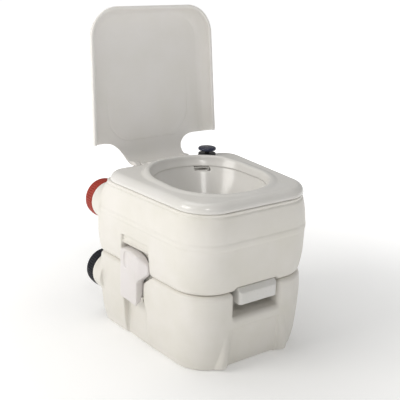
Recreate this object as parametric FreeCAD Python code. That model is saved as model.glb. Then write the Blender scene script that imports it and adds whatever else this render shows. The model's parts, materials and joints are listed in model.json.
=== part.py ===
"""Portable flush toilet: waste tank, fresh-water tank with deck and bowl, lid, latches, caps and pump.

Millimetres. Origin on the floor under the middle of the deck; front (valve handle) is -Y, +Z is up.
"""
import FreeCAD, Part
import math
import os

V = FreeCAD.Vector
X_AXIS, Y_AXIS, Z_AXIS = V(1, 0, 0), V(0, 1, 0), V(0, 0, 1)

# ---- driving dimensions -------------------------------------------------------------------
WALL = 3.0                      # blow-moulded and injection-moulded walls
HALF_REAR = 162.0               # deck half-width at its rear edge
HALF_FRONT = 139.0              # deck half-width at its front edge
HALF_DEPTH = 153.0              # deck half-depth
FRONT_CORNER, REAR_CORNER = 62.0, 18.0
PARTING_Z = 158.0               # top of the waste tank
PARTING_GAP = 0.5
TANK_TOP_Z = 317.5              # top of the fresh-water tank, under the deck
DECK_TOP_Z = 336.0

# growth of each outline over the deck's: z, side, front, rear, extra front and rear corner radius
WASTE_STATIONS = [(0.0, -10, -4, 6, -4, 0), (4.0, -6, 0, 10, 0, 0), (30.0, -3, 2, 16, 2, 0),
                  (85.0, 1, 5, 20, 4, 0), (127.0, 2, 6, 20, 4, 0), (146.0, 0, 4, 18, 2, 0),
                  (154.0, -3, 0, 13, 0, 0), (PARTING_Z, -5, -4, 6, -4, 0)]
FRESH_STATIONS = [(PARTING_Z + PARTING_GAP, -6, -4, 7, 0, 0), (162.0, -1, 1, 13, 3, 0),
                  (172.0, 3, 4, 18, 5, 0), (200.0, 6, 7, 20, 7, 0), (253.0, 7, 8, 21, 8, 2),
                  (278.0, 7, 7, 19, 7, 8), (300.0, 4, 4, 14, 4, 18), (TANK_TOP_Z, 0, 0, 7, 0, 26)]
DECK_STATIONS = [(TANK_TOP_Z + 0.5, 0, 0, 0, 0, 26), (325.0, -1, -1, -1, 0, 26), (330.0, -3, -3, -3, -2, 25),
                 (334.0, -7, -8, -6, -6, 23), (DECK_TOP_Z, -13, -15, -11, -10, 20)]

# bowl: z, half-width, front y, rear y, front and rear corner radius
BOWL_STATIONS = [(DECK_TOP_Z, 105, -113, 131, 98, 80), (317.0, 98, -106, 121, 92, 78),
                 (253.0, 80, -86, 96, 76, 74), (200.0, 62, -64, 68, 60, 60), (180.0, 48, -48, 48, 46, 46),
                 (160.0, 47, -47, 47, 46, 46)]

BLADE_Z, BLADE_HALF_X = (146.0, 149.5), 52.0
VALVE_HALF_X, VALVE_FRONT, VALVE_REAR = 80.0, -112.0, 72.0
VALVE_Z = (134.2, 157.5)
PORT_R = 47.0
RECESS_HALF_X, RECESS_Z = 53.0, 106.0
HANDLE_HALF_X, HANDLE_FRONT, HANDLE_BACK = 46.0, -161.5, -124.0
HANDLE_Z = (132.0, 165.0)
HANDLE_SCREW_Y = -130.0
SCREW_TIP_Z, SCREW_HEAD_Z = 126.0, 154.5

CAP_R, CAP_Y, CAP_TOP = 41.0, (182.0, 208.0), 4.0
NECK_BOSS_R, NECK_BOSS_Y = 39.5, 181.5
NECK_R, NECK_BORE_R, NECK_END_Y = 34.0, 29.0, 199.5
CAP_X, FILLER_Z, WASTE_Z = -132.0, 259.0, 101.0

HINGE_Y, HINGE_Z = 178.0, 322.0
LID_OPEN_DEG = 95.0
LID_RIM_Z = DECK_TOP_Z + 0.5
LID_HALF, LID_TAPER, LID_CORNER = 153.0, 7.0, 62.0
LID_FRONT, LID_REAR, SKIRT_REAR = -150.0, 130.0, 124.0
LID_DEPTH = 35.0
LID_FOOT_HALF, LID_COVE_R = 72.0, 40.0

LATCH_Y, LATCH_HALF = 43.0, 30.0
LATCH_OUT, LATCH_Z = 167.0, (91.0, 199.0)
LATCH_PIVOT_X, LATCH_PIVOT_Z, LATCH_PIN_R = 150.0, 102.0, 2.5
CHANNEL_FLOOR = 142.0
KEEPER_X, KEEPER_Z = 158.0, (177.0, 187.0)
POCKET_Y, POCKET_TOP, POCKET_FLOOR = (-12.0, 77.0), 222.0, 154.0
LATCH_HEAD_Y = -9.0             # the head is wider than the tail towards the front

PUMP_X, PUMP_Y = 92.0, 142.0
PUMP_BORE_R, PUMP_BODY_R = 10.2, 12.5
PUMP_LOW_Z, PISTON_Z = 225.0, 235.0
ROD_R, KNOB_R, COLLAR_R, BOSS_R = 5.0, 19.5, 19.0, 20.5
COLLAR_Z = (336.0, 339.5)
KNOB_Z = (346.5, 355.0)
NOZZLE = (40.0, 72.0, 104.0, 124.0, 311.0, 320.0)
PORT_Z = TANK_TOP_Z - 0.5       # height of the delivery port and its hose
HOSE_R, SPIGOT_R = 5.0, 4.0
HOSE_START, HOSE_LENGTH = 21.0, 9.0     # along the port's direction from the pump's axis


# ---- shape helpers ------------------------------------------------------------------------
def rounded(points, radii, z):
    """Closed wire through a convex polygon's corners, each rounded to its own radius, at height z."""
    edges, spans = [], []
    count = len(points)
    for i, (px, py) in enumerate(points):
        corner = V(px, py, z)
        back = V(*points[i - 1], z) - corner
        ahead = V(*points[(i + 1) % count], z) - corner
        back.normalize()
        ahead.normalize()
        half = back.getAngle(ahead) / 2
        bisector = back + ahead
        bisector.normalize()
        reach = radii[i] / math.tan(half)
        middle = corner + bisector * (radii[i] / math.sin(half) - radii[i])
        spans.append((corner + back * reach, middle, corner + ahead * reach))
    for i, (start, middle, end) in enumerate(spans):
        edges.append(Part.Arc(start, middle, end).toShape())
        edges.append(Part.LineSegment(end, spans[(i + 1) % count][0]).toShape())
    return Part.Wire(edges)


def tank_wire(z, side, front, rear, corner, rear_corner, shrink=0.0):
    """Deck outline, a trapezoid wider at the rear, grown on its sides, front and rear at height z."""
    half_rear, half_front = HALF_REAR + side - shrink, HALF_FRONT + side - shrink
    y_front, y_rear = -HALF_DEPTH - front + shrink, HALF_DEPTH + rear - shrink
    points = [(-half_front, y_front), (half_front, y_front), (half_rear, y_rear), (-half_rear, y_rear)]
    front_r, rear_r = FRONT_CORNER + corner - shrink, REAR_CORNER + rear_corner - shrink
    return rounded(points, [front_r, front_r, rear_r, rear_r], z)


def loft(wires):
    return Part.makeLoft(wires, True, True)


def tank_solid(stations, shrink=0.0):
    """Tank body; with shrink, its hollow, one wall inside on every side."""
    low, high = stations[0][0], stations[-1][0]
    rows = [(min(max(row[0], low + shrink), high - shrink), *row[1:]) for row in stations]
    rows = [row for i, row in enumerate(rows) if i == 0 or row[0] > rows[i - 1][0] + 0.01]
    return loft([tank_wire(*row, shrink=shrink) for row in rows])


def bowl_solid(grow, z_top, z_low):
    """Funnel of the bowl grown by a wall; z_top and z_low replace its end heights."""
    wires = []
    for i, (z, half, y_front, y_rear, front_r, rear_r) in enumerate(BOWL_STATIONS):
        z = z_top if i == 0 else z_low if i == len(BOWL_STATIONS) - 1 else z
        points = [(-half - grow, y_front - grow), (half + grow, y_front - grow),
                  (half + grow, y_rear + grow), (-half - grow, y_rear + grow)]
        radii = [front_r + grow, front_r + grow, rear_r + grow, rear_r + grow]
        wires.append(rounded(points, radii, z))
    return loft(wires)


def box(x0, x1, y0, y1, z0, z1):
    return Part.makeBox(x1 - x0, y1 - y0, z1 - z0, V(x0, y0, z0))


def rod(radius, start, direction, length):
    return Part.makeCylinder(radius, length, start, direction)


def ring(outer, inner, start, direction, length):
    return rod(outer, start, direction, length).cut(rod(inner, start, direction, length))


def prism(points, axis, start, length):
    """Polygon in the plane across axis ('x': points are y, z; 'y': x, z; 'z': x, y), pushed along axis."""
    place = {"x": lambda a, b: V(start, a, b), "y": lambda a, b: V(a, start, b),
             "z": lambda a, b: V(a, b, start)}[axis]
    direction = {"x": X_AXIS, "y": Y_AXIS, "z": Z_AXIS}[axis]
    corners = [place(a, b) for a, b in points]
    return Part.Face(Part.makePolygon(corners + corners[:1])).extrude(direction * length)


def mirrored(shape):
    return shape.mirror(V(0, 0, 0), X_AXIS)


def both_sides(shape):
    return [shape, mirrored(shape)]


def save(name, shape):
    shape.exportStep("parts/" + name + ".step")


# ---- waste tank ---------------------------------------------------------------------------
def latch_channel(grow):
    """Left-hand channel that the latch hangs in, down to the floor, with a broad ramp on its front side."""
    floor, front, rear = -CHANNEL_FLOOR + grow, LATCH_Y - LATCH_HALF - 6 - grow, LATCH_Y + LATCH_HALF + 6 + grow
    outside = -HALF_REAR - 20
    points = [(floor, front), (floor, rear), (outside, rear), (outside, front - 42 - grow / 2)]
    return prism(points, "z", -5, PARTING_Z + 20)


def latch_ears():
    """Two lugs on the channel's floor that hold the latch pin."""
    ears = []
    for y in (LATCH_Y - LATCH_HALF - 4.5, LATCH_Y + LATCH_HALF + 0.5):
        ears.append(box(-LATCH_PIVOT_X, -CHANNEL_FLOOR + 1, y, y + 4,
                        LATCH_PIVOT_Z - 6, LATCH_PIVOT_Z + 6))
        ears.append(rod(6, V(-LATCH_PIVOT_X, y, LATCH_PIVOT_Z), Y_AXIS, 4))
    return ears


def latch_pin():
    start = V(-LATCH_PIVOT_X, LATCH_Y - LATCH_HALF - 4.5, LATCH_PIVOT_Z)
    return rod(LATCH_PIN_R, start, Y_AXIS, 2 * LATCH_HALF + 9)


def valve_screw_places():
    return [V(x, y, 0) for x in (-72, 72) for y in (-96, -20, 56)]


def neck(z, wall_y):
    """Neck of a cap on the rear wall, with the thicker boss at its root that the cap meets."""
    boss = rod(NECK_BOSS_R, V(CAP_X, wall_y, z), Y_AXIS, NECK_BOSS_Y - wall_y)
    return boss.fuse(rod(NECK_R, V(CAP_X, wall_y, z), Y_AXIS, NECK_END_Y - wall_y))


def neck_bore(z):
    return rod(NECK_BORE_R, V(CAP_X, 150, z), Y_AXIS, NECK_END_Y - 149)


def waste_tank():
    """Hollow lower tank, with the valve pocket in its top, the handle recess and the latch channels."""
    pocket = box(-VALVE_HALF_X - 0.3, VALVE_HALF_X + 0.3, VALVE_FRONT, VALVE_REAR + 0.3, VALVE_Z[0] - 0.2, 170)
    pocket_wall = box(-VALVE_HALF_X - 3.3, VALVE_HALF_X + 3.3, VALVE_FRONT - WALL, VALVE_REAR + 3.3, VALVE_Z[0] - 3.2, 170)
    recess = box(-RECESS_HALF_X, RECESS_HALF_X, -200, VALVE_FRONT + 1, RECESS_Z, 170)
    recess_wall = box(-RECESS_HALF_X - WALL, RECESS_HALF_X + WALL, -200, VALVE_FRONT + 1 + WALL,
                      RECESS_Z - WALL, 170)
    outside = tank_solid(WASTE_STATIONS).fuse(neck(WASTE_Z, 162))
    outside = outside.cut(pocket).cut(recess)
    inside = tank_solid(WASTE_STATIONS, WALL).cut(pocket_wall).cut(recess_wall)
    for channel, channel_wall in zip(both_sides(latch_channel(0)), both_sides(latch_channel(WALL))):
        outside = outside.cut(channel)
        inside = inside.cut(channel_wall)
    tank = outside.cut(inside).cut(neck_bore(WASTE_Z)).cut(rod(PORT_R, V(0, 0, 115), Z_AXIS, 30))
    for ear in latch_ears():
        tank = tank.fuse(ear).fuse(mirrored(ear))
    for pin in both_sides(latch_pin()):
        tank = tank.cut(pin)
    for place in valve_screw_places():
        tank = tank.cut(rod(2, place + Z_AXIS * SCREW_TIP_Z, Z_AXIS, 20))
    return tank


# ---- slide valve ---------------------------------------------------------------------------
def valve_frame():
    """Flat housing in the tank's top; the blade slides in its slot, under a groove for the lip seal."""
    points = [(-VALVE_HALF_X, VALVE_FRONT), (VALVE_HALF_X, VALVE_FRONT), (VALVE_HALF_X, VALVE_REAR),
              (-VALVE_HALF_X, VALVE_REAR)]
    outline = rounded(points, [3, 3, 12, 12], VALVE_Z[0])
    frame = Part.Face(outline).extrude(Z_AXIS * (VALVE_Z[1] - VALVE_Z[0]))
    slot = box(-BLADE_HALF_X - 0.5, BLADE_HALF_X + 0.5, VALVE_FRONT - 1, 62, BLADE_Z[0] - 0.4, BLADE_Z[1] + 0.4)
    frame = frame.cut(slot).cut(rod(PORT_R, V(0, 0, 125), Z_AXIS, 40))
    frame = frame.cut(rod(BLADE_HALF_X, V(0, 0, BLADE_Z[1]), Z_AXIS, 4))
    for place in valve_screw_places():
        frame = frame.cut(rod(2, place + Z_AXIS * SCREW_TIP_Z, Z_AXIS, 40))
        frame = frame.cut(rod(4, place + Z_AXIS * SCREW_HEAD_Z, Z_AXIS, 5))
    return frame


def valve_frame_screws():
    screws = []
    for place in valve_screw_places():
        head = rod(4, place + Z_AXIS * SCREW_HEAD_Z, Z_AXIS, 2.5)
        top = SCREW_HEAD_Z + 2.5
        recess = box(-0.6, 0.6, -3, 3, top - 1.2, top + 1).fuse(box(-3, 3, -0.6, 0.6, top - 1.2, top + 1))
        recess.translate(place)
        shank = rod(2, place + Z_AXIS * (SCREW_TIP_Z + 0.5), Z_AXIS, SCREW_HEAD_Z - SCREW_TIP_Z)
        screws.append(head.fuse(shank).cut(recess))
    return Part.makeCompound(screws)


def valve_blade():
    """Sliding plate that closes the port, with a tongue at the front for the handle."""
    front = VALVE_FRONT - 4
    half = BLADE_HALF_X
    outline = rounded([(-half, front), (half, front), (half, 60), (-half, 60)], [4, 4, 40, 40], BLADE_Z[0])
    thick = BLADE_Z[1] - BLADE_Z[0]
    blade = Part.Face(outline).extrude(Z_AXIS * thick)
    blade = blade.fuse(box(-30, 30, HANDLE_SCREW_Y - 6, front + 2, *BLADE_Z))
    for x in (-18, 18):
        blade = blade.cut(rod(2, V(x, HANDLE_SCREW_Y, 130), Z_AXIS, 30))
    return blade


def valve_handle():
    """Pull handle: a block with a chamfered upper front edge, hollow below for the fingers."""
    y0, y1, (z0, z1) = HANDLE_FRONT, HANDLE_BACK, HANDLE_Z
    profile = [(y0, z0), (y0, z1 - 9), (y0 + 9, z1), (y1, z1), (y1, z0 + 8), (y1 - 5, z0)]
    handle = prism(profile, "x", -HANDLE_HALF_X, 2 * HANDLE_HALF_X)
    upright = [edge for edge in handle.Edges if len(edge.Vertexes) == 2 and abs(edge.BoundBox.XLength) < 0.01
               and edge.BoundBox.YMax < y0 + 0.1]
    handle = handle.makeChamfer(3, upright)
    hollow = prism([(y0 + 5, z0 - 1), (y0 + 5, z0 + 10), (y1 - 14, z0 + 10), (y1 - 14, z0 - 1)], "x", -41, 82)
    handle = handle.cut(hollow).cut(box(-30, 30, HANDLE_SCREW_Y - 6, HANDLE_BACK + 1, *BLADE_Z))
    for x in (-18, 18):
        handle = handle.cut(rod(2, V(x, HANDLE_SCREW_Y, 130), Z_AXIS, 24))
        handle = handle.cut(rod(3.6, V(x, HANDLE_SCREW_Y, 130), Z_AXIS, 7))
    return handle


def valve_handle_screws():
    screws = []
    for x in (-18, 18):
        head = rod(3.6, V(x, HANDLE_SCREW_Y, 134), Z_AXIS, 3)
        screws.append(head.fuse(rod(2, V(x, HANDLE_SCREW_Y, 134), Z_AXIS, 19.5)))
    return Part.makeCompound(screws)


# ---- fresh-water tank ----------------------------------------------------------------------
def latch_pocket(grow):
    """Left-hand pocket: deep below, where the latch closes, and shallow above, round the raised bar."""
    y0, y1 = POCKET_Y[0] - grow, POCKET_Y[1] + grow
    deep = box(-200, -CHANNEL_FLOOR + grow, y0, y1, 140, LATCH_Z[1] + 2 + grow)
    shallow = box(-200, -POCKET_FLOOR + grow, y0, y1, 180, POCKET_TOP + grow)
    return deep.fuse(shallow)


def keeper():
    """Rib in the pocket that the latch hooks over."""
    return box(-KEEPER_X, -CHANNEL_FLOOR + 1, LATCH_Y - 18, LATCH_Y + 18, *KEEPER_Z)


def handle_notch(grow):
    """Clearance for the valve handle in the lower front edge."""
    half = HANDLE_HALF_X + 5 + grow
    return box(-half, half, -200, HANDLE_BACK + 1.5 + grow, 150, HANDLE_Z[1] + 1.5 + grow)


def nozzle_notch(grow):
    """Room for the flush nozzle and its hose in the tank's top, beside the well."""
    x0, x1, y0, y1, z0, z1 = NOZZLE
    return box(x0 - 2 - grow, x1 + 10 + grow, y0 - 2, y1 + 12 + grow, z0 - 2 - grow, z1 + 20)


def fresh_tank():
    """Hollow ring-shaped tank round the bowl's well, with the filler neck and the latch pockets."""
    outside = tank_solid(FRESH_STATIONS).fuse(neck(FILLER_Z, 165)).cut(nozzle_notch(0))
    inside = tank_solid(FRESH_STATIONS, WALL).cut(bowl_solid(8, TANK_TOP_Z + 10, PARTING_Z))
    outside = outside.cut(handle_notch(0))
    inside = inside.cut(nozzle_notch(WALL)).cut(handle_notch(WALL))
    for pocket, pocket_wall in zip(both_sides(latch_pocket(0)), both_sides(latch_pocket(WALL))):
        outside = outside.cut(pocket)
        inside = inside.cut(pocket_wall)
    tank = outside.cut(inside).cut(bowl_solid(5.5, TANK_TOP_Z + 10, PARTING_Z)).cut(neck_bore(FILLER_Z))
    for rib in both_sides(keeper()):
        tank = tank.fuse(rib)
    tank = tank.cut(rod(SPIGOT_R + 0.3, at_pump(PORT_Z), port_direction(), HOSE_START + 6))
    return tank.cut(rod(PUMP_BODY_R, at_pump(TANK_TOP_Z - 17), Z_AXIS, 20))


# ---- deck and bowl -------------------------------------------------------------------------
def hinge_lug(x0, x1):
    barrel = rod(7, V(x0, HINGE_Y, HINGE_Z), X_AXIS, x1 - x0)
    root_y = HALF_DEPTH - 6
    arm = prism([(root_y, HINGE_Z - 3), (HINGE_Y, HINGE_Z - 7), (HINGE_Y, HINGE_Z + 7),
                 (root_y, HINGE_Z + 9)], "x", x0, x1 - x0)
    return barrel.fuse(arm)


def seat_deck():
    """Seat deck with rounded shoulders and the bowl in one moulding, the pump boss and the hinge lugs."""
    outside = loft([tank_wire(*row) for row in DECK_STATIONS])
    cavity = loft([tank_wire(TANK_TOP_Z - 1, -4, -4, -4, -4, 22), tank_wire(324, -5, -5, -5, -4, 21),
                   tank_wire(329, -9, -9, -8, -8, 18), tank_wire(DECK_TOP_Z - 4, -17, -19, -15, -14, 14)])
    deck = outside.cut(cavity).fuse(bowl_solid(WALL, DECK_TOP_Z - 1, PARTING_Z + 2))
    deck = deck.fuse(rod(BOSS_R, at_pump(TANK_TOP_Z + 0.5), Z_AXIS, COLLAR_Z[0] - TANK_TOP_Z - 0.5))
    for lug in both_sides(hinge_lug(44, 57)):
        deck = deck.fuse(lug)
    deck = deck.cut(bowl_solid(0, DECK_TOP_Z + 1, PARTING_Z + 1))
    deck = deck.cut(rod(PUMP_BODY_R, at_pump(310), Z_AXIS, 40)).cut(rod(BOSS_R - 2.5, at_pump(310), Z_AXIS, 20))
    deck = deck.cut(rod(SPIGOT_R + 0.3, at_pump(PORT_Z), port_direction(), 40))
    deck = deck.cut(box(*NOZZLE))
    for pin in both_sides(hinge_pin()):
        deck = deck.cut(pin)
    return deck


def hinge_pin():
    return rod(3, V(44, HINGE_Y, HINGE_Z), X_AXIS, 27.5)


# ---- lid ----------------------------------------------------------------------------------
def lid_wire(z, inset, rear):
    half = LID_HALF - inset
    points = [(-half + LID_TAPER, LID_FRONT + inset), (half - LID_TAPER, LID_FRONT + inset),
              (half, rear), (-half, rear)]
    return rounded(points, [LID_CORNER - inset, LID_CORNER - inset, 2, 2], z)


def lid():
    """Shallow tray with splayed skirts, and a foot that curls down to the hinge; made closed, then opened."""
    rim, top = LID_RIM_Z, LID_RIM_Z + LID_DEPTH
    outside = loft([lid_wire(rim, 0, SKIRT_REAR), lid_wire(top - 12, 8, LID_REAR - 3),
                    lid_wire(top - 4, 12, LID_REAR - 1), lid_wire(top, 18, LID_REAR)])
    inside = loft([lid_wire(rim - 1, WALL, 170), lid_wire(top - 13, 11, 170),
                   lid_wire(top - 6, 15, 170), lid_wire(top - WALL, 21, 170)])
    shell = outside.cut(inside)
    curl_x = LID_FOOT_HALF + LID_COVE_R
    curl = prism([(LID_REAR - 4, top), (139, top - 1), (155, top - 8), (168, top - 21), (175, top - 35),
                  (171, top - 37), (164, top - 24), (152, top - 12), (138, top - 5), (LID_REAR - 4, top - 3.2)],
                 "x", -curl_x, 2 * curl_x)
    for side in (-1, 1):
        curl = curl.cut(rod(LID_COVE_R, V(side * curl_x, LID_REAR + LID_COVE_R, top - 60), Z_AXIS, 80))
    curl = curl.common(box(-curl_x, curl_x, 0, LID_REAR + LID_COVE_R, 0, 400).fuse(
        box(-LID_FOOT_HALF, LID_FOOT_HALF, 0, 200, 0, 400)))
    cover = shell.fuse(curl)
    for ear in both_sides(lid_ear(top)):
        cover = cover.fuse(ear)
    for bore in both_sides(rod(3.06, V(40, HINGE_Y, HINGE_Z), X_AXIS, 40)):
        cover = cover.cut(bore)
    cover.rotate(V(0, HINGE_Y, HINGE_Z), X_AXIS, -LID_OPEN_DEG)
    return cover


def lid_ear(top):
    """Knuckle at the foot's end, outside a deck lug."""
    barrel = rod(7, V(58, HINGE_Y, HINGE_Z), X_AXIS, 12)
    web = prism([(HINGE_Y - 7, HINGE_Z), (169, top - 33), (175, top - 35), (HINGE_Y + 7, HINGE_Z)], "x", 58, 12)
    return barrel.fuse(web)


# ---- latches ------------------------------------------------------------------------------
def latch():
    """Left latch: outer plate, side cheeks deeper at the top, top wall, hook lip and the knuckle."""
    y0, y1, (z0, z1) = LATCH_Y - LATCH_HALF, LATCH_Y + LATCH_HALF, LATCH_Z
    out = -LATCH_OUT
    plate = box(out, out + 4, y0, y1, z0, z1)
    cheek = [(out, z0), (out + 4, z0), (out + 19, 112), (out + 22, z1 - 4), (out + 22, z1), (out, z1)]
    body = plate.fuse(prism(cheek, "y", y0, 3)).fuse(prism(cheek, "y", y1 - 3, 3))
    body = body.fuse(box(out, out + 22, y0, y1, z1 - 4, z1))
    body = body.fuse(box(out + 1, -CHANNEL_FLOOR - 8, y0 + 8, y1 - 8, KEEPER_Z[1] + 1.0, z1 - 1))
    body = body.fuse(rod(5.2, V(-LATCH_PIVOT_X, y0, LATCH_PIVOT_Z), Y_AXIS, y1 - y0))
    body = body.fuse(box(out + 1, -LATCH_PIVOT_X, y0, y1, LATCH_PIVOT_Z - 5, LATCH_PIVOT_Z + 5))
    body = body.cut(rod(LATCH_PIN_R + 0.06, V(-LATCH_PIVOT_X, y0 - 1, LATCH_PIVOT_Z), Y_AXIS, y1 - y0 + 2))
    scoop = rod(8, V(out - 5, LATCH_Y + 8, z1 - 38), Z_AXIS, 32)
    return body.cut(scoop).fuse(latch_head())


def latch_head():
    """Bevelled flank that widens the latch's upper half towards the front."""
    out, y0, top = -LATCH_OUT, LATCH_Y - LATCH_HALF, LATCH_Z[1] - 2
    plan = [(out, y0 + 1), (out, y0), (out + 8.5, LATCH_HEAD_Y), (out + 17, LATCH_HEAD_Y), (out + 17, y0 + 1)]
    flank = Part.Face(rounded(plan, [0.3] * 5, 140)).extrude(Z_AXIS * 60)
    side_view = [(y0 + 1, top), (LATCH_HEAD_Y, top - 6), (LATCH_HEAD_Y, 162), (y0 + 1, 144)]
    flank = flank.common(prism(side_view, "x", out, 17))
    return flank.cut(box(out + 10.5, out + 18, LATCH_HEAD_Y + 3.5, y0 - 0.5, 140, top - 9))


# ---- caps ---------------------------------------------------------------------------------
def cap(z):
    """Screw cap, a deep cup over its neck, with a bevelled outer edge and grip ribs."""
    y0, y1 = CAP_Y
    profile = [V(0, y0, 0), V(CAP_R - 1, y0, 0), V(CAP_R, y0 + 2, 0), V(CAP_R, y1 - 3, 0), V(CAP_R - 4, y1, 0),
               V(0, y1, 0), V(0, y0, 0)]
    solid = Part.Face(Part.makePolygon(profile)).revolve(V(0, 0, 0), Y_AXIS, 360)
    solid = solid.cut(rod(NECK_R + 0.5, V(0, y0 - 1, 0), Y_AXIS, y1 - y0 + 1 - CAP_TOP))
    for i in range(24):
        turn = math.radians(15 * i)
        groove = rod(1.2, V(CAP_R * math.cos(turn), y0 - 1, CAP_R * math.sin(turn)), Y_AXIS, y1 - y0 - 5)
        solid = solid.cut(groove)
    solid.translate(V(CAP_X, 0, z))
    return solid


def cap_gasket(z):
    return ring(NECK_R - 0.2, NECK_BORE_R - 3, V(CAP_X, NECK_END_Y + 0.2, z), Y_AXIS, 3.9)


# ---- flush pump ---------------------------------------------------------------------------
def at_pump(z):
    return V(PUMP_X, PUMP_Y, z)


def port_direction():
    """Level direction from the pump's axis to the nozzle."""
    run = V((NOZZLE[0] + NOZZLE[1]) / 2 - PUMP_X, NOZZLE[3] - 5 - PUMP_Y, 0)
    return run.normalize()


def pump_body():
    """Pump cylinder hanging in the fresh water, with a flange on the tank's top and a delivery port."""
    body = rod(PUMP_BODY_R, at_pump(PUMP_LOW_Z), Z_AXIS, 329 - PUMP_LOW_Z)
    body = body.fuse(rod(BOSS_R - 2.6, at_pump(TANK_TOP_Z), Z_AXIS, 2))
    body = body.fuse(rod(SPIGOT_R, at_pump(PORT_Z), port_direction(), HOSE_START + 4))
    body = body.cut(rod(PUMP_BORE_R, at_pump(PUMP_LOW_Z + 3), Z_AXIS, 110))
    body = body.cut(rod(3, at_pump(PUMP_LOW_Z - 2), Z_AXIS, 10))
    return body.cut(rod(2.4, at_pump(PORT_Z), port_direction(), 30))


def pump_collar():
    collar = rod(COLLAR_R, at_pump(COLLAR_Z[0]), Z_AXIS, COLLAR_Z[1] - COLLAR_Z[0])
    collar = collar.fuse(rod(PUMP_BODY_R - 0.2, at_pump(329.2), Z_AXIS, COLLAR_Z[0] - 329))
    return collar.cut(rod(ROD_R + 0.08, at_pump(320), Z_AXIS, 30))


def pump_knob():
    """Mushroom head with a crowned top, pressed on the rod's end."""
    z0, z1 = KNOB_Z
    crown = 3.0
    crown_r = (KNOB_R ** 2 + crown ** 2) / (2 * crown)
    head = rod(KNOB_R, at_pump(z0), Z_AXIS, z1 - z0).common(Part.makeSphere(crown_r, at_pump(z1 - crown_r)))
    lower_rim = [edge for edge in head.Edges if abs(edge.BoundBox.ZMax - z0) < 0.01]
    head = head.makeFillet(2.5, lower_rim)
    return head.cut(rod(ROD_R, at_pump(z0 - 1), Z_AXIS, 5))


def pump_rod():
    return rod(ROD_R, at_pump(PISTON_Z + 10), Z_AXIS, KNOB_Z[0] + 4 - PISTON_Z - 10)


def pump_piston():
    piston = rod(PUMP_BORE_R - 0.09, at_pump(PISTON_Z), Z_AXIS, 10)
    return piston.cut(ring(PUMP_BORE_R, 7.5, at_pump(PISTON_Z + 3), Z_AXIS, 4))


def pump_piston_seal():
    return ring(PUMP_BORE_R - 0.05, 7.5, at_pump(PISTON_Z + 3), Z_AXIS, 4)


def delivery_hose():
    return ring(HOSE_R, SPIGOT_R, at_pump(PORT_Z) + port_direction() * HOSE_START, port_direction(), HOSE_LENGTH)


def flush_nozzle():
    """Hollow spout in the bowl's wall, with an inlet spigot for the hose."""
    x0, x1, y0, y1, z0, z1 = NOZZLE
    body = box(x0, x1, y0, y1, z0, z1).cut(bowl_solid(0, DECK_TOP_Z + 1, PARTING_Z + 1))
    body = body.cut(box(x0 + 2, x1 - 2, y0 - 1, y1 - 3, z0 + 2, z1 - 2))
    hose_start = at_pump(PORT_Z) + port_direction() * HOSE_START
    body = body.cut(rod(HOSE_R + 0.1, hose_start, port_direction(), HOSE_LENGTH + 0.1))
    hose_end = hose_start + port_direction() * (HOSE_LENGTH / 2)
    spigot = rod(SPIGOT_R, hose_end, port_direction(), 12)
    hole = rod(2.4, hose_end - port_direction(), port_direction(), 16)
    inside = box(x0 + 2, x1 - 2, y0 - 30, y1 - 3, z0 + 2, z1 - 2)
    return body.fuse(spigot.cut(inside)).cut(hole)


# ---- all pieces ---------------------------------------------------------------------------
def build():
    os.makedirs("parts", exist_ok=True)
    save("waste_tank", waste_tank())
    save("valve_frame", valve_frame())
    save("valve_frame_screws", valve_frame_screws())
    save("valve_lip_seal", ring(BLADE_HALF_X - 0.3, PORT_R + 1, V(0, 0, BLADE_Z[1] + 0.4), Z_AXIS, 3.6))
    save("valve_blade", valve_blade())
    save("valve_handle", valve_handle())
    save("valve_handle_screws", valve_handle_screws())
    save("bowl_outlet_seal", ring(51.5, PORT_R, V(0, 0, VALVE_Z[1]), Z_AXIS, PARTING_Z + 2 - VALVE_Z[1]))
    save("fresh_tank", fresh_tank())
    save("seat_deck", seat_deck())
    save("lid", lid())
    for name, side in (("left", -1), ("right", 1)):
        left_latch, left_pin, right_hinge = latch(), latch_pin(), hinge_pin()
        save("latch_" + name, left_latch if side < 0 else mirrored(left_latch))
        save("latch_pin_" + name, left_pin if side < 0 else mirrored(left_pin))
        save("lid_hinge_pin_" + name, mirrored(right_hinge) if side < 0 else right_hinge)
    for name, z in (("filler", FILLER_Z), ("waste", WASTE_Z)):
        save(name + "_cap", cap(z))
        save(name + "_cap_gasket", cap_gasket(z))
    save("pump_body", pump_body())
    save("pump_foot_valve", rod(6, at_pump(PUMP_LOW_Z + 3.1), Z_AXIS, 1.6))
    save("pump_collar", pump_collar())
    save("pump_rod", pump_rod())
    save("pump_piston", pump_piston())
    save("pump_piston_seal", pump_piston_seal())
    save("pump_knob", pump_knob())
    save("delivery_hose", delivery_hose())
    save("flush_nozzle", flush_nozzle())


build()
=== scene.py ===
"""Portable flush toilet: waste tank, slide valve, fresh-water tank, deck with bowl, lid, latches, caps and pump."""
import json
import math

import bpy
import numpy as np
from mathutils import Matrix, Vector


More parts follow.
